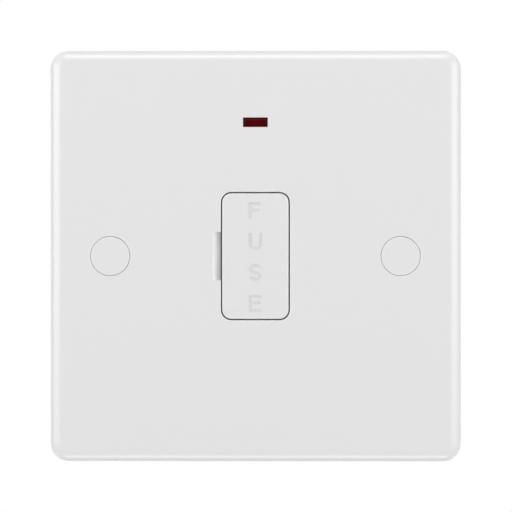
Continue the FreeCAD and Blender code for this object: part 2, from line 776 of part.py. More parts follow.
def terminal(label, width, bores, x, z):
    """Brass block with wire bores from top to bottom and a tapped hole behind each."""
    body = new_body(label)
    outline = sketch(body, label + "_outline", "XZ", "-terminal_back")
    rectangle(outline, "0", "0", width, "terminal_length")
    pad(body, label + "_block", outline, "terminal_depth")
    dress(body, "Chamfer", label + "_edges", edges_at_height(body, "-terminal_back"),
          "Size", "terminal_chamfer")
    holes = sketch(body, label + "_bores", "XY", "0")
    for place in bores:
        circle(holes, place, "bore_depth", "terminal_bore")
    pocket(body, label + "_wire_bores", holes, "terminal_length", symmetric=True)
    taps = sketch(body, label + "_taps", "XZ", "-terminal_back")
    for place in bores:
        circle(taps, place, "0", "clamp_thread + 2 * clamp_gap")
    pocket(body, label + "_tapped_holes", taps, "terminal_back - bore_depth", forward=True)
    bind(body, "Placement.Base.x", x)
    bind(body, "Placement.Base.z", z)
    return body


def screw(label, thread, length, head, head_depth):
    """Slotted screw along Y: the shank's end is at the origin and the head faces back."""
    body = new_body(label)
    profile = sketch(body, label + "_profile", "XY", "0")
    shank, wide = f"{thread} / 2", f"{head} / 2"
    top = f"{length} + {head_depth}"
    cut = "screw_chamfer"
    polygon(profile, [
        ("0", "0"), (f"{shank} - {cut}", "0"), (shank, cut), (shank, length), (wide, length),
        (wide, f"{top} - {cut}"), (f"{wide} - {cut}", top), ("0", top),
    ])
    revolution(body, label + "_turned", profile)
    slit = sketch(body, label + "_slot_outline", "XZ", f"-({top})")
    rectangle(slit, "0", "0", head, "slot_width")
    pocket(body, label + "_slot", slit, "slot_depth", forward=True)
    return body


def terminal_screws():
    """Six clamp screws, backed out so that the wire bores are open."""
    master = screw("clamp_screw", "clamp_thread", "clamp_length", "clamp_head", "clamp_head_depth")
    return copies("terminal_screws", master, [(x, "clamp_start", z) for x, z in CLAMP_PLACES])


def housing_screws():
    """Four screws from behind that hold the housing to the plate."""
    master = screw("assembly_screw", "assembly_thread", "assembly_length",
                   "assembly_head", "assembly_head_depth")
    return copies("housing_screws", master,
                  [(x, "assembly_seat - assembly_length", z) for x, z in ASSEMBLY_PLACES])


# Rear housing


def rear_housing():
    body = new_body("rear_housing")
    bay = sketch(body, "bay_outline", "XZ", "-bay_back")
    bay_height = "(bay_top - terminal_z)"
    rounded_rectangle(bay, "0", f"terminal_z + {bay_height} / 2", "bay_width", bay_height, "housing_corner")
    pad(body, "neon_bay", bay, "bay_back + skin_back")
    dress(body, "Fillet", "bay_soft_edge", edges_at_height(body, "-bay_back"), "Radius", "housing_round")
    block = sketch(body, "housing_outline", "XZ", "-housing_back")
    rounded_rectangle(block, "0", "0", "housing_width", "housing_height", "housing_corner")
    pad(body, "housing_block", block, "housing_back + skin_back")
    dress(body, "Fillet", "housing_soft_edge", edges_at_height(body, "-housing_back"),
          "Radius", "housing_round")
    collar_end = "-housing_back - collar_length"
    collars = [sketch(body, f"collar_{number}", "XZ", collar_end) for number in (1, 2, 3)]
    for x, z in TERMINAL_PLACES:
        circle(collars[0], x, z, "collar_diameter")
    for collar, x in zip(collars[1:], EARTH_X):
        circle(collar, x, "-terminal_z", "collar_diameter")
    for number, collar in enumerate(collars, start=1):
        pad(body, f"screw_collars_{number}", collar, "collar_length")
    dress(body, "Fillet", "collar_soft_edges", edges_at_height(body, collar_end), "Radius", "collar_round")
    front_cavities(body)
    rear_cavities(body)
    cable_holes(body)
    return body


def front_cavities(body):
    """Cavities that open at the housing's front, behind the plate."""
    def front(name):
        return sketch(body, name, "XZ", "skin_back")

    seat = front("shroud_seat_outline")
    rounded_rectangle(seat, "0", "0", "shroud_width + 2 * shroud_gap", "shroud_height + 2 * shroud_gap",
                      "aperture_corner + shroud_wall")
    pocket(body, "shroud_seat", seat, "shroud_depth + shroud_gap")
    chamber = front("chamber_outline")
    rounded_rectangle(chamber, "0", "0", "chamber_width", "chamber_height", "aperture_corner")
    pocket(body, "fuse_chamber", chamber, "skin_back + floor_depth")
    for name, sign in (("upper", 1), ("lower", -1)):
        channel = front(name + "_channel_outline")
        strip_outline(channel, sign, "strip_gap")
        pocket(body, name + "_channel", channel, "skin_back + floor_depth")
    link = front("link_channel_outline")
    rectangle(link, "-link_x", "0", "link_width + 2 * strip_gap", "2 * terminal_z")
    pocket(body, "link_channel", link, "skin_back + floor_depth")
    cells = front("terminal_cells_outline")
    for x, z in TERMINAL_PLACES:
        rectangle(cells, x, z, "terminal_width + 2 * terminal_gap", "terminal_length + 2 * terminal_gap")
    rectangle(cells, "0", "-terminal_z", "earth_width + 2 * terminal_gap",
              "terminal_length + 2 * terminal_gap")
    pocket(body, "terminal_cells", cells, "skin_back + terminal_back + terminal_gap")
    room = front("resistor_room_outline")
    room_half = "(bay_width / 2 - bay_wall)"
    span(room, f"-{room_half}", room_half, "terminal_end - terminal_length", "terminal_end")
    pocket(body, "resistor_room", room, "skin_back + floor_depth")
    lamp = front("lamp_room_outline")
    span(lamp, f"-{room_half}", room_half, "terminal_z", "bay_top - bay_wall")
    pocket(body, "lamp_room", lamp, "skin_back + bay_back - bay_floor")
    notches = front("wire_notch_outline")
    rectangle(notches, "0", "wire_crossing", "2 * terminal_x", "wire_notch")
    pocket(body, "wire_notches", notches, "skin_back - wire_height + wire_notch / 2")
    posts = front("post_bores_outline")
    for x, z in ASSEMBLY_PLACES:
        circle(posts, x, z, "assembly_boss + screw_clearance")
    pocket(body, "post_bores", posts, "assembly_boss_height + assembly_gap")


def rear_cavities(body):
    """Cores and screw holes that open at the housing's back."""
    cores = sketch(body, "core_outline", "XZ", "-housing_back")
    core_rise = "(terminal_z - terminal_length / 2 - terminal_gap - rib_thickness)"
    middle = "(chamber_width / 2)"
    side_start = f"({middle} + rib_thickness)"
    side_end = "(assembly_x - assembly_head / 2 - screw_clearance - rib_thickness)"
    top_half = "(terminal_x - terminal_width / 2 - terminal_gap - rib_thickness)"
    span(cores, f"-{middle}", middle, f"-{core_rise}", core_rise)
    span(cores, side_start, side_end, f"-{core_rise}", core_rise)
    span(cores, f"-{side_end}", f"-{side_start}", f"-{core_rise}", core_rise)
    span(cores, f"-{top_half}", top_half, f"{core_rise} + rib_thickness", "terminal_end + terminal_gap")
    pocket(body, "rear_cores", cores, "housing_back - floor_depth - floor_thickness", forward=True)
    heads = sketch(body, "head_bores_outline", "XZ", "-housing_back")
    shanks = sketch(body, "shank_bores_outline", "XZ", "-housing_back")
    for x, z in ASSEMBLY_PLACES:
        circle(heads, x, z, "assembly_head + 2 * screw_clearance")
        circle(shanks, x, z, "assembly_thread + 2 * screw_clearance")
    pocket(body, "head_bores", heads, "housing_back - assembly_seat", forward=True)
    pocket(body, "shank_bores", shanks, "housing_back + skin_back", forward=True)
    access = sketch(body, "access_outline", "XZ", "-housing_back - collar_length")
    for x, z in CLAMP_PLACES:
        circle(access, x, z, "access_diameter")
    pocket(body, "screw_access", access, "collar_length + housing_back - terminal_back", forward=True)


def cable_holes(body):
    """Holes in the top and bottom walls, in line with the wire bores."""
    wall = "housing_wall + terminal_gap"
    top = sketch(body, "top_cable_outline", "XY", "housing_height / 2")
    bottom = sketch(body, "bottom_cable_outline", "XY", "-housing_height / 2")
    for side in PLUS_MINUS:
        circle(top, signed("terminal_x", side), "bore_depth", "cable_hole")
        circle(bottom, signed("terminal_x", side), "bore_depth", "cable_hole")
    for x in EARTH_X:
        circle(bottom, x, "bore_depth", "cable_hole")
    pocket(body, "top_cable_holes", top, wall)
    pocket(body, "bottom_cable_holes", bottom, wall, forward=True)


# Neon lamp and its wiring


def neon_bulb():
    """Sealed glass tube on its side, with a domed end and a pinched end."""
    body = new_body("neon_bulb")
    profile = sketch(body, "bulb_profile", "XZ", "bulb_height")
    radius = "bulb_diameter / 2"
    dome_start = "bulb_length / 2 - bulb_diameter / 4"
    dome_end = "bulb_length / 2"
    polygon(profile, [
        ("0", "-bulb_length / 2"), ("bulb_pinch / 2", "-bulb_length / 2"),
        (radius, "bulb_diameter / 4 - bulb_length / 2"), (radius, dome_start),
        ("bulb_diameter / 4", dome_end), ("0", dome_end),
    ])
    revolution(body, "bulb_turned", profile)
    for name, level in (("dome", dome_start), ("shoulder", f"-({dome_start})")):
        dress(body, "Fillet", "bulb_" + name, edges_where(body, Z=level), "Radius", "bulb_diameter / 2")
    body.Placement.Rotation = FreeCAD.Rotation(FreeCAD.Vector(0, 1, 0), 90)
    bind(body, "Placement.Base.z", "lens_rise")
    return body


def neon_resistor():
    """Series resistor, on its side on the floor below the lamp."""
    body = new_body("neon_resistor")
    profile = sketch(body, "resistor_profile", "XZ", "resistor_height")
    radius, waist = "resistor_diameter / 2", "resistor_diameter * 0.42"
    end = "resistor_length / 2"
    shoulder = "resistor_length / 4"
    polygon(profile, [
        ("0", f"-{end}"), (radius, f"-{end}"), (radius, f"-{shoulder} - lead_diameter"),
        (waist, f"-{shoulder}"), (waist, shoulder), (radius, f"{shoulder} + lead_diameter"),
        (radius, end), ("0", end),
    ])
    revolution(body, "resistor_turned", profile)
    ends = edges_where(body, Z=end) + edges_where(body, Z=f"-({end})")
    dress(body, "Fillet", "resistor_soft_ends", ends, "Radius", "resistor_round")
    body.Placement.Rotation = FreeCAD.Rotation(FreeCAD.Vector(0, 1, 0), 90)
    bind(body, "Placement.Base.z", "resistor_z")
    return body


def bent_wire(label, route, diameter, bend):
    """Round wire along straight runs with an arc of one radius at each turn."""
    points = [FreeCAD.Vector(value(x), -value(height), value(z)) for x, height, z in route]
    radius = value(bend)
    edges = []
    start = points[0]
    for before, corner, after in zip(points, points[1:], points[2:]):
        into = (corner - before).normalize()
        out = (after - corner).normalize()
        setback = radius * math.tan(into.getAngle(out) / 2)
        arc_start, arc_end = corner - into * setback, corner + out * setback
        inward = (out - into).normalize()
        centre = corner + inward * math.hypot(radius, setback)
        middle = centre - inward * radius
        edges.append(Part.LineSegment(start, arc_start).toShape())
        edges.append(Part.Arc(arc_start, middle, arc_end).toShape())
        start = arc_end
    edges.append(Part.LineSegment(start, points[-1]).toShape())
    ring = Part.Wire(Part.makeCircle(value(diameter) / 2, points[0], points[1] - points[0]))
    node = doc.addObject("Part::Feature", label)
    node.Label = label
    node.Shape = Part.Wire(edges).makePipeShell([ring], True, False)
    return node


def neon_wiring():
    """Bare lead from lamp to resistor, and one insulated wire to each load terminal."""
    lamp_end = "-bulb_length / 2"
    turn_x = f"{lamp_end} - 2 * wire_diameter + wire_diameter / 4"
    low, high = "lens_rise - lead_spread / 2", "lens_rise + lead_spread / 2"
    resistor_end = "resistor_length / 2"
    lead = bent_wire("neon_lead", [
        (lamp_end, "bulb_height", low), (f"{lamp_end} - 2 * lead_bend", "bulb_height", low),
        (f"{lamp_end} - 2 * lead_bend", "resistor_height", "resistor_z"),
        (f"-{resistor_end}", "resistor_height", "resistor_z"),
    ], "lead_diameter", "lead_bend")
    neutral = bent_wire("neon_wire_neutral", [
        (lamp_end, "bulb_height", high), (turn_x, "bulb_height", high),
        (turn_x, "wire_height", "wire_crossing"), ("-wire_end_x", "wire_height", "wire_crossing"),
        ("-wire_end_x", "wire_height", "wire_end_z"), ("-wire_end_x", "-strip_front", "wire_end_z"),
    ], "wire_diameter", "wire_bend")
    live = bent_wire("neon_wire_live", [
        (resistor_end, "resistor_height", "resistor_z"),
        (f"{resistor_end} + 2 * wire_bend", "resistor_height", "resistor_z"),
        (f"{resistor_end} + 4 * wire_bend", "wire_height", "wire_crossing"),
        ("wire_end_x", "wire_height", "wire_crossing"),
        ("wire_end_x", "wire_height", "wire_end_z"), ("wire_end_x", "-strip_front", "wire_end_z"),
    ], "wire_diameter", "wire_bend")
    return [lead, neutral, live]


# The whole unit

nodes = [
    front_plate(),
    screw_cap("screw_cap_left", FIXING_X[1]),
    screw_cap("screw_cap_right", FIXING_X[0]),
    neon_lens(),
    fuse_carrier(),
    fuse_tube(),
    fuse_cap("fuse_cap_upper", 1),
    fuse_cap("fuse_cap_lower", -1),
    fuse_wire(),
    rear_housing(),
    fuse_contact("fuse_contact_upper", 1),
    fuse_contact("fuse_contact_lower", -1),
    neutral_link(),
    terminal("live_load_terminal", "terminal_width", ["0"], "terminal_x", "terminal_z"),
    terminal("live_supply_terminal", "terminal_width", ["0"], "terminal_x", "-terminal_z"),
    terminal("neutral_load_terminal", "terminal_width", ["0"], "-terminal_x", "terminal_z"),
    terminal("neutral_supply_terminal", "terminal_width", ["0"], "-terminal_x", "-terminal_z"),
    terminal("earth_terminal", "earth_width", EARTH_X, "0", "-terminal_z"),
    terminal_screws(),
    housing_screws(),
    neon_bulb(),
    neon_resistor(),
] + neon_wiring()
doc.recompute()

for item in doc.Objects:
    if {"Invalid", "Error"} & set(item.State):
        raise RuntimeError(f"{item.Label} is {item.State}")
    if item.TypeId == "PartDesign::Pocket" and item.Shape.Volume >= item.BaseFeature.Shape.Volume:
        raise RuntimeError(f"{item.Label} cuts nothing")
for node in nodes:
    if node.Shape.isNull() or not node.Shape.isValid():
        raise RuntimeError(f"{node.Label} has no valid shape")
    node.Shape.exportStep(f"parts/{node.Label}.step")
    print(f"{node.Label}: {len(node.Shape.Solids)} solid, {node.Shape.Volume / 1000:.3f} cm3")
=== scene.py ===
import math

import bmesh
import bpy
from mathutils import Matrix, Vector


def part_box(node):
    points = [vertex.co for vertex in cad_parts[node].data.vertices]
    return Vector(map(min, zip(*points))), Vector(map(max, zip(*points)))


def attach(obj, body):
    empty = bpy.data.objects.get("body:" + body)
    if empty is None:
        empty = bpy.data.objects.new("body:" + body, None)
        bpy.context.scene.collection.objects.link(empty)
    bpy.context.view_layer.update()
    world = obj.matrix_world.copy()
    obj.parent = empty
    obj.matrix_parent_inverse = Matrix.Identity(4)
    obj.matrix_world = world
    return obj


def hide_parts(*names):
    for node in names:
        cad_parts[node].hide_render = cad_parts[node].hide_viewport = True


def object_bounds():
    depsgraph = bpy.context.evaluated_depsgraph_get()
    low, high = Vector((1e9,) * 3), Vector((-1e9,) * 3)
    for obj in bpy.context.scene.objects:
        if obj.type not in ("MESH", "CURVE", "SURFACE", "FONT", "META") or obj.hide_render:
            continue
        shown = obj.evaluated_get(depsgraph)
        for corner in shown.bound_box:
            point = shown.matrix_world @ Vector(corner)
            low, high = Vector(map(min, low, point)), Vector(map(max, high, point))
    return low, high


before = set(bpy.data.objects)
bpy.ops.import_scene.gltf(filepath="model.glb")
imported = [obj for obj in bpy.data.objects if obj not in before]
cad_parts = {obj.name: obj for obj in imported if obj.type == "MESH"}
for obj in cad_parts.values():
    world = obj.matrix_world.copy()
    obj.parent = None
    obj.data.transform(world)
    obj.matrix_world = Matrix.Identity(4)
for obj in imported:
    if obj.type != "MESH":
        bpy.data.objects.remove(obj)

# Looks of the fused spur unit: its moulded, metal, glass and ceramic finishes, the letters
# sunk in the fuse carrier, the electrodes in the neon bulb, and the studio around it.
# Lengths are in metres. The front faces -Y and +Z is up.

MM = 0.001

# View: almost straight on to the plate, from a little to the right.
CAMERA_DISTANCE = 750 * MM
CAMERA_RIGHT = 11 * MM
CAMERA_RISE = 3 * MM
VIEW_WIDTH = 107.55 * MM
SENSOR_WIDTH = 36.0

# Letters in the carrier's face, one under the other.
LETTER_HEIGHT = 3.5 * MM
LETTER_STROKE = 0.66 * MM
LETTER_DEPTH = 0.12 * MM
LETTER_PITCH = 6.43 * MM
LETTER_LEFT = -1.39 * MM
LETTER_MIDDLE = -0.22 * MM
LETTER_WIDTHS = {"F": 2.4 * MM, "U": 2.85 * MM, "S": 2.65 * MM, "E": 2.6 * MM}
ARC_STEP = math.radians(9)

# Middle arms of F and E: rise above the letter's middle as a share of its height, and length
# as a share of its width. The two bowls of the S stop at an angle to the level, in degrees.
F_ARM_RISE = 0.02
F_ARM_LENGTH = 0.88
E_ARM_RISE = 0.03
E_ARM_LENGTH = 0.92
S_END = 18

# Meshes made here: corners closer than the seam are joined. On the carrier, edges sharper
# than the crisp edge stay so, and the face weight lets large faces shade flat.
SEAM = 0.001 * MM
CRISP_EDGE = math.radians(28)
FACE_WEIGHT = 90

# Neon bulb's two rods; the angles, in radians, step round an end.
ROD_RADIUS = 0.3 * MM
ROD_END_ANGLES = (0.5, 1.0, 1.57)
ROD_SPREAD = 1.5 * MM
ROD_END_GAP = 1.3 * MM
ROD_SIDES = 20

# Studio: the floor's depth below the unit, half its side, its glow and the start of its fade
# to white, then the strength of the world's fill.
FLOOR_DROP = 77 * MM
FLOOR_HALF = 480 * MM
FLOOR_COLOUR = (0.86, 0.86, 0.85)
FLOOR_GLOW = 0.38
FADE_START = 150 * MM
WORLD_FILL = 0.245
PLAIN_WHITE = (1.0, 1.0, 1.0, 1.0)

# Urea mouldings: the face, the floors of the sunk letters painted darker as shade, and the housing.
MOULDED_WHITE = (0.79, 0.79, 0.79)
SUNK_WHITE_SHADED = (0.742, 0.742, 0.742)
HOUSING_WHITE = (0.74, 0.74, 0.715)
UREA_IOR = 1.58
FACE_SKIN = {"clouding": 0.004, "pits": 2600.0, "pit_depth": 0.004 * MM, "gloss_spread": 0.03}

# Painted shade: share of the red taken off the window's colour at the ends of its hidden flange.
LENS_END_SHADE = 0.9

# Resistor's lacquer and its rings: start as a share of the length, and colour.
RESISTOR_TONE = (0.62, 0.45, 0.26, 1.0)
RINGS = [
    (0.2, (0.5, 0.26, 0.02, 1.0)),
    (0.34, (0.13, 0.04, 0.16, 1.0)),
    (0.48, (0.7, 0.5, 0.03, 1.0)),
    (0.74, (0.45, 0.3, 0.08, 1.0)),
]
RING_WIDTH = 0.07


# Shader node helpers.

def new_group(name, inputs, outputs):
    """Empty node group with named sockets; gives its tree, inputs and outputs."""
    tree = bpy.data.node_groups.new(name, "ShaderNodeTree")
    for label, kind, start in inputs:
        socket = tree.interface.new_socket(label, in_out="INPUT", socket_type=kind)
        socket.default_value = start
    for label, kind in outputs:
        tree.interface.new_socket(label, in_out="OUTPUT", socket_type=kind)
    given = tree.nodes.new("NodeGroupInput").outputs
    result = tree.nodes.new("NodeGroupOutput").inputs
    return tree, given, result


def math_node(tree, operation, first, second=None, third=None):
    """Math node whose inputs are sockets or numbers; gives its output."""
    node = tree.nodes.new("ShaderNodeMath")
    node.operation = operation
    for socket, source in zip(node.inputs, (first, second, third)):
        if isinstance(source, bpy.types.NodeSocket):
            tree.links.new(source, socket)
        elif source is not None:
            socket.default_value = source
    return node.outputs[0]


def noise(tree, place, scale, detail):
    """Noise over a place vector; gives its value."""
    node = tree.nodes.new("ShaderNodeTexNoise")
    node.inputs["Detail"].default_value = detail
    tree.links.new(place, node.inputs["Vector"])
    if isinstance(scale, bpy.types.NodeSocket):
        tree.links.new(scale, node.inputs["Scale"])
    else:
        node.inputs["Scale"].default_value = scale
    return node.outputs["Fac"]


def brighten(tree, colour, factor):
    """Colour times a number that varies over the surface; gives the new colour."""
    node = tree.nodes.new("ShaderNodeVectorMath")
    node.operation = "SCALE"
    tree.links.new(colour, node.inputs[0])
    tree.links.new(factor, node.inputs["Scale"])
    return node.outputs[0]


def vary(tree, mask, middle, spread):
    """A value that swings about the middle with a 0 to 1 mask."""
    swing = math_node(tree, "SUBTRACT", mask, 0.5)
    return math_node(tree, "MULTIPLY_ADD", swing, spread, middle)


def moulding_skin_group():
    """Skin of a pressed or moulded part: faint clouding, fine pits, uneven gloss."""
    clouds_per_metre = 130.0
    touches_per_metre = 60.0
    tree, given, result = new_group(
        "moulding_skin",
        [
            ("Place", "NodeSocketVector", (0.0, 0.0, 0.0)),
            ("Tone", "NodeSocketColor", (0.8, 0.8, 0.8, 1.0)),
            ("Clouding", "NodeSocketFloat", 0.01),
            ("Pits per Metre", "NodeSocketFloat", 3000.0),
            ("Gloss", "NodeSocketFloat", 0.3),
            ("Gloss Spread", "NodeSocketFloat", 0.05),
        ],
        [("Colour", "NodeSocketColor"), ("Roughness", "NodeSocketFloat"), ("Height", "NodeSocketFloat")],
    )
    cloud = noise(tree, given["Place"], clouds_per_metre, detail=3.0)
    speck = noise(tree, given["Place"], given["Pits per Metre"], detail=2.0)
    tone = vary(tree, cloud, 1.0, given["Clouding"])
    fine_tone = vary(tree, speck, tone, given["Clouding"])
    handled = noise(tree, given["Place"], touches_per_metre, detail=4.0)
    tree.links.new(brighten(tree, given["Tone"], fine_tone), result["Colour"])
    tree.links.new(vary(tree, handled, given["Gloss"], given["Gloss Spread"]), result["Roughness"])
    tree.links.new(speck, result["Height"])
    return tree


def tool_lines_group():
    """Metal as it left the tool: fine lines along one direction and a dulling film."""
    films_per_metre = 320.0
    film_softness = 0.3
    line_contrast = 0.22
    tree, given, result = new_group(
        "tool_lines",
        [
            ("Place", "NodeSocketVector", (0.0, 0.0, 0.0)),
            ("Line Scale", "NodeSocketVector", (4000.0, 4000.0, 120.0)),
            ("Bright", "NodeSocketColor", (0.8, 0.6, 0.3, 1.0)),
            ("Dull", "NodeSocketColor", (0.5, 0.36, 0.18, 1.0)),
            ("Gloss", "NodeSocketFloat", 0.25),
            ("Gloss Spread", "NodeSocketFloat", 0.2),
        ],
        [("Colour", "NodeSocketColor"), ("Roughness", "NodeSocketFloat"), ("Height", "NodeSocketFloat")],
    )
    stretch = tree.nodes.new("ShaderNodeVectorMath")
    stretch.operation = "MULTIPLY"
    tree.links.new(given["Place"], stretch.inputs[0])
    tree.links.new(given["Line Scale"], stretch.inputs[1])
    lines = noise(tree, stretch.outputs[0], scale=1.0, detail=3.0)
    film = noise(tree, given["Place"], films_per_metre, detail=5.0)
    film_squared = math_node(tree, "MULTIPLY", film, film)
    film_edge = math_node(tree, "SMOOTH_MIN", film_squared, 1.0, film_softness)
    tint = tree.nodes.new("ShaderNodeMix")
    tint.data_type = "RGBA"
    tree.links.new(film_edge, tint.inputs["Factor"])
    tree.links.new(given["Bright"], tint.inputs["A"])
    tree.links.new(given["Dull"], tint.inputs["B"])
    line_tone = vary(tree, lines, 1.0, line_contrast)
    tree.links.new(brighten(tree, tint.outputs["Result"], line_tone), result["Colour"])
    dulled = vary(tree, film, given["Gloss"], given["Gloss Spread"])
    tree.links.new(dulled, result["Roughness"])
    tree.links.new(lines, result["Height"])
    return tree


def screw_turns_group():
    """Ridges across Y at a thread's pitch, for screws that lie along Y."""
    tree, given, result = new_group(
        "screw_turns",
        [
            ("Place", "NodeSocketVector", (0.0, 0.0, 0.0)),
            ("Pitch", "NodeSocketFloat", 0.0007),
        ],
        [("Height", "NodeSocketFloat")],
    )
    axes = tree.nodes.new("ShaderNodeSeparateXYZ")
    tree.links.new(given["Place"], axes.inputs[0])
    turns = math_node(tree, "DIVIDE", axes.outputs["Y"], given["Pitch"])
    ridge = math_node(tree, "PINGPONG", turns, 0.5)
    tree.links.new(math_node(tree, "MULTIPLY", ridge, 2.0), result["Height"])
    return tree


# Finishes.

def new_finish(name):
    """Material with one Principled shader; gives it with its tree, shader and place socket."""
    finish = bpy.data.materials.new(name)
    finish.use_nodes = True
    tree = finish.node_tree
    shader = tree.nodes["Principled BSDF"]
    place = tree.nodes.new("ShaderNodeTexCoord").outputs["Object"]
    return finish, tree, shader, place


def add_group(tree, group, place, **values):
    """Place a node group in a material and set its inputs; underscores stand for spaces."""
    node = tree.nodes.new("ShaderNodeGroup")
    node.node_tree = group
    tree.links.new(place, node.inputs["Place"])
    for label, value in values.items():
        node.inputs[label.replace("_", " ")].default_value = value
    return node


def add_bump(tree, target, height, distance):
    """Bump of one height map on the normal of a shader or of another bump."""
    bump = tree.nodes.new("ShaderNodeBump")
    bump.inputs["Distance"].default_value = distance
    tree.links.new(height, bump.inputs["Height"])
    tree.links.new(bump.outputs["Normal"], target.inputs["Normal"])


def moulded(name, tone, clouding, pits, pit_depth, gloss, gloss_spread, ior=1.5):
    """Moulded plastic or fired clay, from the shared skin group."""
    finish, tree, shader, place = new_finish(name)
    shader.inputs["IOR"].default_value = ior
    skin = add_group(
        tree, moulding_skin, place, Tone=(*tone, 1.0), Clouding=clouding, Pits_per_Metre=pits,
        Gloss=gloss, Gloss_Spread=gloss_spread,
    )
    tree.links.new(skin.outputs["Colour"], shader.inputs["Base Color"])
    tree.links.new(skin.outputs["Roughness"], shader.inputs["Roughness"])
    add_bump(tree, shader, skin.outputs["Height"], pit_depth)
    return finish


def metal(name, bright, dull, gloss, gloss_spread, line_scale, line_depth):
    """Bare or plated metal, from the shared tool lines group."""
    finish, tree, shader, place = new_finish(name)
    shader.inputs["Metallic"].default_value = 1.0
    lines = add_group(
        tree, tool_lines, place, Bright=(*bright, 1.0), Dull=(*dull, 1.0),
        Gloss=gloss, Gloss_Spread=gloss_spread, Line_Scale=line_scale,
    )
    tree.links.new(lines.outputs["Colour"], shader.inputs["Base Color"])
    tree.links.new(lines.outputs["Roughness"], shader.inputs["Roughness"])
    add_bump(tree, shader, lines.outputs["Height"], line_depth)
    return finish


def threaded(finish, pitch, depth):
    """Add the turns of a thread to a screw's metal."""
    tree = finish.node_tree
    shader = tree.nodes["Principled BSDF"]
    place = tree.nodes.new("ShaderNodeTexCoord").outputs["Object"]
    turns = add_group(tree, screw_turns, place, Pitch=pitch)
    lines = shader.inputs["Normal"].links[0].from_node
    add_bump(tree, lines, turns.outputs["Height"], depth)


def red_lens_finish(node):
    """Clear red moulding, dark because little light comes back through it, with painted shade at its
    ends.
    """
    low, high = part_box(node)
    finish, tree, shader, place = new_finish("clear_red")
    skin = add_group(
        tree, moulding_skin, place, Tone=(0.075, 0.0004, 0.0018, 1.0), Clouding=0.12,
        Pits_per_Metre=1500.0, Gloss=0.12, Gloss_Spread=0.06,
    )
    axes = tree.nodes.new("ShaderNodeSeparateXYZ")
    tree.links.new(place, axes.inputs[0])
    across = math_node(tree, "DIVIDE", axes.outputs["X"], (high.x - low.x) / 2)
    squared = math_node(tree, "MULTIPLY", across, across)
    # Painted shade: the lens colour darkens with the square of the distance from its middle.
    end_shaded = math_node(tree, "MULTIPLY_ADD", squared, -LENS_END_SHADE, 1.0)
    tree.links.new(brighten(tree, skin.outputs["Colour"], end_shaded), shader.inputs["Base Color"])
    tree.links.new(skin.outputs["Roughness"], shader.inputs["Roughness"])
    shader.inputs["Transmission Weight"].default_value = 0.03
    shader.inputs["IOR"].default_value = 1.49
    shader.inputs["Specular IOR Level"].default_value = 0.02
    return finish


def bulb_glass_finish():
    """Thin clear glass of the neon bulb."""
    finish, tree, shader, place = new_finish("bulb_glass")
    skin = add_group(
        tree, moulding_skin, place, Tone=(0.95, 0.86, 0.8, 1.0), Clouding=0.04,
        Pits_per_Metre=700.0, Gloss=0.03, Gloss_Spread=0.03,
    )
    tree.links.new(skin.outputs["Colour"], shader.inputs["Base Color"])
    tree.links.new(skin.outputs["Roughness"], shader.inputs["Roughness"])
    shader.inputs["Transmission Weight"].default_value = 0.92
    shader.inputs["IOR"].default_value = 1.47
    return finish


def banded_resistor_finish(node):
    """Lacquered resistor body with four colour rings round it, placed along its length."""
    low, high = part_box(node)
    finish, tree, shader, place = new_finish("banded_lacquer")
    axes = tree.nodes.new("ShaderNodeSeparateXYZ")
    tree.links.new(place, axes.inputs[0])
    from_end = math_node(tree, "SUBTRACT", axes.outputs["X"], low.x)
    along = math_node(tree, "DIVIDE", from_end, high.x - low.x)
    ramp = tree.nodes.new("ShaderNodeValToRGB")
    ramp.color_ramp.interpolation = "CONSTANT"
    ramp.color_ramp.elements[0].color = RESISTOR_TONE
    ramp.color_ramp.elements.remove(ramp.color_ramp.elements[1])
    for start, tone in RINGS:
        ramp.color_ramp.elements.new(start).color = tone
        ramp.color_ramp.elements.new(start + RING_WIDTH).color = RESISTOR_TONE
    tree.links.new(along, ramp.inputs["Fac"])
    skin = add_group(
        tree, moulding_skin, place,
        Clouding=0.08, Pits_per_Metre=2500.0, Gloss=0.42, Gloss_Spread=0.1,
    )
    tree.links.new(ramp.outputs["Color"], skin.inputs["Tone"])
    tree.links.new(skin.outputs["Colour"], shader.inputs["Base Color"])
    tree.links.new(skin.outputs["Roughness"], shader.inputs["Roughness"])
    add_bump(tree, shader, skin.outputs["Height"], 0.02 * MM)
    return finish


def dress(finish, *nodes):
    """Give CAD nodes a finish."""
    for name in nodes:
        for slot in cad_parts[name].material_slots:
            slot.material = finish


# Letters.

def arc(middle_x, middle_z, radius_x, radius_z, start, end):
    """Points along part of an ellipse, angles in degrees."""
    turn = math.radians(end - start)
    count = max(2, math.ceil(abs(turn) / ARC_STEP))
    angles = [math.radians(start) + turn * step / count for step in range(count + 1)]
    return [(middle_x + radius_x * math.cos(a), middle_z + radius_z * math.sin(a)) for a in angles]


def ribbon(path, width):
    """Outline of a stroke of one width along a path, with square ends."""
    left = []
    right = []
    for index, (x, z) in enumerate(path):
        before = path[max(index - 1, 0)]
        after = path[min(index + 1, len(path) - 1)]
        run = Vector((after[0] - before[0], after[1] - before[1])).normalized()
        left.append((x - run.y * width / 2, z + run.x * width / 2))
        right.append((x + run.y * width / 2, z - run.x * width / 2))
    return left + right[::-1]


def comb(width, arms):
    """Outline of an upright bar with arms to the right, given as (height, share of width)."""
    half = LETTER_STROKE / 2
    outline = [(0.0, 0.0)]
    for height, share in arms:
        if height > half:
            outline += [(LETTER_STROKE, height - half)]
        outline += [(width * share, height - half), (width * share, height + half)]
        if height < LETTER_HEIGHT - half:
            outline += [(LETTER_STROKE, height + half)]
    if arms[0][0] > half:
        outline.insert(1, (LETTER_STROKE, 0.0))
    return outline + [(0.0, LETTER_HEIGHT)]


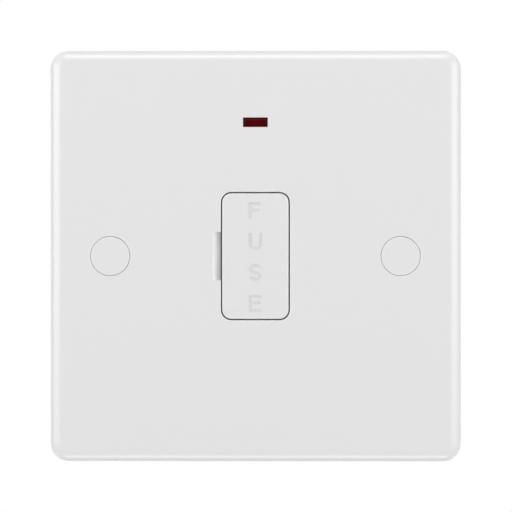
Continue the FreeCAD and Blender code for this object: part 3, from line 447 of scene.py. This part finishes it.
def letter_outline(letter):
    """Outline of one letter, from its lower left corner."""
    width = LETTER_WIDTHS[letter]
    half = LETTER_STROKE / 2
    side = width / 2 - half
    low = half
    high = LETTER_HEIGHT - half
    middle = LETTER_HEIGHT / 2
    if letter == "F":
        return comb(width, [(middle + F_ARM_RISE * LETTER_HEIGHT, F_ARM_LENGTH), (high, 1.0)])
    if letter == "E":
        arm = (middle + E_ARM_RISE * LETTER_HEIGHT, E_ARM_LENGTH)
        return comb(width, [(low, 1.0), arm, (high, 1.0)])
    if letter == "U":
        bowl = arc(width / 2, half + side, side, side, 180, 360)
        return ribbon([(half, LETTER_HEIGHT)] + bowl + [(width - half, LETTER_HEIGHT)], LETTER_STROKE)
    bowl = (high - low) / 4
    upper = arc(width / 2, high - bowl, side, bowl, S_END, 270)
    lower = arc(width / 2, low + bowl, side, bowl, 90, S_END - 180)
    return ribbon(upper + lower[1:], LETTER_STROKE)


def letter_cutter(front):
    """Solid letters that stand through the carrier's face, to cut the recess."""
    word = "FUSE"
    mesh = bmesh.new()
    for place, letter in enumerate(word):
        foot = LETTER_MIDDLE + ((len(word) - 1) / 2 - place) * LETTER_PITCH - LETTER_HEIGHT / 2
        corners = [
            mesh.verts.new((LETTER_LEFT + x, front - LETTER_DEPTH, foot + z))
            for x, z in letter_outline(letter)
        ]
        face = mesh.faces.new(corners)
        pushed = bmesh.ops.extrude_face_region(mesh, geom=[face])["geom"]
        moved = [item for item in pushed if isinstance(item, bmesh.types.BMVert)]
        bmesh.ops.translate(mesh, verts=moved, vec=(0, 2 * LETTER_DEPTH, 0))
    bmesh.ops.recalc_face_normals(mesh, faces=mesh.faces)
    return new_object("letter_cutter", mesh)


def new_object(name, mesh):
    """Object from a bmesh, linked to the scene."""
    data = bpy.data.meshes.new(name)
    mesh.to_mesh(data)
    mesh.free()
    piece = bpy.data.objects.new(name, data)
    bpy.context.scene.collection.objects.link(piece)
    return piece


def apply_modifiers(piece):
    """Turn a piece's modifiers into its mesh."""
    graph = bpy.context.evaluated_depsgraph_get()
    shaped = bpy.data.meshes.new_from_object(piece.evaluated_get(graph))
    piece.modifiers.clear()
    piece.data = shaped


def lettered_carrier(finish, shaded_sunk_finish):
    """The fuse carrier with its word sunk into the face, in a duller finish painted darker as shade."""
    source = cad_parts["fuse_carrier"]
    low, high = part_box("fuse_carrier")
    carrier = bpy.data.objects.new("lettered_carrier", source.data.copy())
    bpy.context.scene.collection.objects.link(carrier)
    carrier.data.materials.clear()
    carrier.data.materials.append(finish)
    cutter = letter_cutter(low.y)
    cutter.data.materials.append(shaded_sunk_finish)
    welded = carrier.modifiers.new("join_seams", "WELD")
    welded.merge_threshold = SEAM
    cut = carrier.modifiers.new("sink_letters", "BOOLEAN")
    cut.operation = "DIFFERENCE"
    cut.solver = "EXACT"
    cut.material_mode = "TRANSFER"
    cut.object = cutter
    apply_modifiers(carrier)
    bpy.data.objects.remove(cutter)
    carrier.data.shade_smooth()
    carrier.data.set_sharp_from_angle(angle=CRISP_EDGE)
    even = carrier.modifiers.new("even_shading", "WEIGHTED_NORMAL")
    even.keep_sharp = True
    even.weight = FACE_WEIGHT
    apply_modifiers(carrier)
    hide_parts("fuse_carrier")
    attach(carrier, "fuse_drawer")


# Neon bulb.

def bulb_rods(finish):
    """Two round-ended rods side by side in the bulb, along its length."""
    low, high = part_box("neon_bulb")
    middle = (low + high) / 2
    half = (high.x - low.x) / 2 - ROD_END_GAP
    profile = [(-half, 0.0)]
    for angle in ROD_END_ANGLES:
        profile.append((-half + ROD_RADIUS * (1 - math.cos(angle)), ROD_RADIUS * math.sin(angle)))
    profile += [(-along, radius) for along, radius in profile[::-1]]
    mesh = bmesh.new()
    for side in (-1, 1):
        line = [
            mesh.verts.new((middle.x + along, middle.y, middle.z + side * ROD_SPREAD / 2 + radius))
            for along, radius in profile
        ]
        edges = [mesh.edges.new(pair) for pair in zip(line, line[1:])]
        bmesh.ops.spin(
            mesh, geom=line + edges, cent=(0, middle.y, middle.z + side * ROD_SPREAD / 2),
            axis=(1, 0, 0), angle=math.tau, steps=ROD_SIDES, use_merge=True,
        )
    bmesh.ops.remove_doubles(mesh, verts=mesh.verts, dist=SEAM)
    bmesh.ops.recalc_face_normals(mesh, faces=mesh.faces)
    rods = new_object("bulb_rods", mesh)
    rods.data.shade_smooth()
    rods.data.materials.append(finish)
    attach(rods, "unit")


# Studio.

def aim(thing, target):
    """Turn a lamp or camera to look at a point, upright."""
    thing.rotation_euler = (Vector(target) - thing.location).to_track_quat("-Z", "Y").to_euler()


def soft_lamp(name, place, width, height, power):
    """Area lamp that looks at the middle of the plate; place and sides in millimetres."""
    lamp = bpy.data.lights.new(name, "AREA")
    lamp.shape = "RECTANGLE"
    lamp.size = width * MM
    lamp.size_y = height * MM
    lamp.energy = power
    holder = bpy.data.objects.new(name, lamp)
    bpy.context.scene.collection.objects.link(holder)
    holder.location = [value * MM for value in place]
    holder.visible_camera = False
    aim(holder, (0, 0, 0))
    return holder


def floor_finish():
    """Pale paint that fades to plain white away from the unit, and is clear from below."""
    finish = moulded(
        "floor_paint", FLOOR_COLOUR,
        clouding=0.01, pits=400.0, pit_depth=0.02 * MM, gloss=0.6, gloss_spread=0.05,
    )
    tree = finish.node_tree
    paint = tree.nodes["Principled BSDF"]
    place = tree.nodes.new("ShaderNodeTexCoord").outputs["Object"]
    length = tree.nodes.new("ShaderNodeVectorMath")
    length.operation = "LENGTH"
    tree.links.new(place, length.inputs[0])
    fade = tree.nodes.new("ShaderNodeMapRange")
    fade.interpolation_type = "SMOOTHSTEP"
    fade.inputs["From Min"].default_value = FADE_START
    fade.inputs["From Max"].default_value = FLOOR_HALF
    tree.links.new(length.outputs["Value"], fade.inputs["Value"])
    path = tree.nodes.new("ShaderNodeLightPath")
    seen = math_node(tree, "MAXIMUM", path.outputs["Is Camera Ray"], path.outputs["Is Glossy Ray"])
    paint.inputs["Emission Color"].default_value = PLAIN_WHITE
    tree.links.new(math_node(tree, "MULTIPLY", seen, FLOOR_GLOW), paint.inputs["Emission Strength"])
    white = tree.nodes.new("ShaderNodeEmission")
    mix = tree.nodes.new("ShaderNodeMixShader")
    tree.links.new(math_node(tree, "MULTIPLY", seen, fade.outputs["Result"]), mix.inputs["Fac"])
    tree.links.new(paint.outputs[0], mix.inputs[1])
    tree.links.new(white.outputs[0], mix.inputs[2])
    side = tree.nodes.new("ShaderNodeNewGeometry")
    clear = tree.nodes.new("ShaderNodeBsdfTransparent")
    either = tree.nodes.new("ShaderNodeMixShader")
    tree.links.new(side.outputs["Backfacing"], either.inputs["Fac"])
    tree.links.new(mix.outputs[0], either.inputs[1])
    tree.links.new(clear.outputs[0], either.inputs[2])
    tree.links.new(either.outputs[0], tree.nodes["Material Output"].inputs["Surface"])
    return finish


def white_world():
    """White to the camera, to reflections and through glass; a plain fill for the rest."""
    world = bpy.data.worlds.new("studio")
    bpy.context.scene.world = world
    world.use_nodes = True
    tree = world.node_tree
    tree.nodes.clear()
    seen = tree.nodes.new("ShaderNodeBackground")
    fill = tree.nodes.new("ShaderNodeBackground")
    fill.inputs["Strength"].default_value = WORLD_FILL
    path = tree.nodes.new("ShaderNodeLightPath")
    kinds = math_node(tree, "ADD", path.outputs["Is Camera Ray"], path.outputs["Is Glossy Ray"])
    factor = math_node(tree, "ADD", kinds, path.outputs["Is Transmission Ray"])
    for background in (seen, fill):
        background.inputs["Color"].default_value = PLAIN_WHITE
    mix = tree.nodes.new("ShaderNodeMixShader")
    tree.links.new(factor, mix.inputs["Fac"])
    tree.links.new(fill.outputs[0], mix.inputs[1])
    tree.links.new(seen.outputs[0], mix.inputs[2])
    output = tree.nodes.new("ShaderNodeOutputWorld")
    tree.links.new(mix.outputs[0], output.inputs["Surface"])


def pale_floor():
    """Pale floor below the front view that neither hides the lower lamp nor lights the unit."""
    low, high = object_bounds()
    mesh = bmesh.new()
    corners = [(-1, -1), (1, -1), (1, 1), (-1, 1)]
    level = low.z - FLOOR_DROP
    mesh.faces.new([mesh.verts.new((x * FLOOR_HALF, y * FLOOR_HALF, level)) for x, y in corners])
    floor = new_object("floor", mesh)
    floor.data.materials.append(floor_finish())
    floor.visible_shadow = False
    floor.visible_diffuse = False


def studio_lamps():
    """Soft banks on all four sides of the plate, and a rear fill that no metal mirrors."""
    soft_lamp("left_bank", (-640, -360, 120), width=840, height=400, power=3.6)
    soft_lamp("right_bank", (640, -360, 120), width=840, height=400, power=3.6)
    soft_lamp("top_bank", (0, -270, 620), width=420, height=340, power=1.55)
    soft_lamp("bottom_bank", (0, -150, -672), width=480, height=310, power=2.2)
    rear_fill = soft_lamp("rear_fill", (0, 800, 0), width=900, height=700, power=3.2)
    rear_fill.visible_glossy = False


def front_camera():
    """Camera in front of the plate, a little to the right of its middle."""
    optics = bpy.data.cameras.new("front_camera")
    optics.sensor_width = SENSOR_WIDTH
    optics.lens = SENSOR_WIDTH * CAMERA_DISTANCE / VIEW_WIDTH
    camera = bpy.data.objects.new("front_camera", optics)
    bpy.context.scene.collection.objects.link(camera)
    camera.location = (CAMERA_RIGHT, -CAMERA_DISTANCE, CAMERA_RISE)
    aim(camera, (0, 0, 0))
    bpy.context.scene.camera = camera


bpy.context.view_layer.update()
bpy.context.scene.view_settings.view_transform = "Standard"

moulding_skin = moulding_skin_group()
tool_lines = tool_lines_group()
screw_turns = screw_turns_group()

white_urea = moulded("white_urea", MOULDED_WHITE, gloss=0.295, ior=UREA_IOR, **FACE_SKIN)
# The letter floors' darker white is painted shade of the recess.
sunk_urea_shaded = moulded("sunk_urea_shaded", SUNK_WHITE_SHADED, gloss=0.4, ior=UREA_IOR, **FACE_SKIN)
housing_urea = moulded(
    "housing_urea", HOUSING_WHITE,
    clouding=0.02, pits=1900.0, pit_depth=0.02 * MM, gloss=0.55, gloss_spread=0.08, ior=UREA_IOR,
)
ceramic = moulded(
    "fired_clay", (0.76, 0.71, 0.62),
    clouding=0.05, pits=3200.0, pit_depth=0.02 * MM, gloss=0.62, gloss_spread=0.12,
)
sleeve = moulded(
    "soft_sleeve", (0.66, 0.66, 0.64),
    clouding=0.03, pits=2400.0, pit_depth=0.01 * MM, gloss=0.5, gloss_spread=0.08,
)
nickel = metal(
    "nickel_plate", bright=(0.72, 0.7, 0.66), dull=(0.55, 0.53, 0.49),
    gloss=0.24, gloss_spread=0.16, line_scale=(300.0, 3000.0, 3000.0), line_depth=0.004 * MM,
)
brass = metal(
    "cut_brass", bright=(0.8, 0.6, 0.26), dull=(0.62, 0.44, 0.18),
    gloss=0.3, gloss_spread=0.18, line_scale=(3500.0, 3500.0, 250.0), line_depth=0.006 * MM,
)
copper = metal(
    "drawn_copper", bright=(0.8, 0.42, 0.26), dull=(0.55, 0.27, 0.16),
    gloss=0.28, gloss_spread=0.16, line_scale=(400.0, 3500.0, 3500.0), line_depth=0.004 * MM,
)
screw_brass = metal(
    "screw_brass", bright=(0.82, 0.62, 0.28), dull=(0.6, 0.43, 0.18),
    gloss=0.26, gloss_spread=0.16, line_scale=(2800.0, 300.0, 2800.0), line_depth=0.004 * MM,
)
screw_steel = metal(
    "zinc_plate", bright=(0.66, 0.67, 0.68), dull=(0.5, 0.51, 0.5),
    gloss=0.3, gloss_spread=0.14, line_scale=(2600.0, 300.0, 2600.0), line_depth=0.004 * MM,
)
threaded(screw_brass, pitch=0.7 * MM, depth=0.25 * MM)
threaded(screw_steel, pitch=0.95 * MM, depth=0.35 * MM)

dress(white_urea, "front_plate", "screw_cap_left", "screw_cap_right", "fuse_carrier")
dress(housing_urea, "rear_housing")
dress(ceramic, "fuse_tube")
dress(sleeve, "neon_wire_neutral", "neon_wire_live")
dress(nickel, "fuse_cap_upper", "fuse_cap_lower")
dress(nickel, "fuse_contact_upper", "fuse_contact_lower", "neutral_link")
dress(brass, "live_load_terminal", "live_supply_terminal", "neutral_load_terminal")
dress(brass, "neutral_supply_terminal", "earth_terminal")
dress(copper, "fuse_wire", "neon_lead")
dress(screw_brass, "terminal_screws")
dress(screw_steel, "housing_screws")
dress(red_lens_finish("neon_lens"), "neon_lens")
dress(bulb_glass_finish(), "neon_bulb")
dress(banded_resistor_finish("neon_resistor"), "neon_resistor")

lettered_carrier(white_urea, sunk_urea_shaded)
bulb_rods(nickel)

white_world()
pale_floor()
studio_lamps()
front_camera()
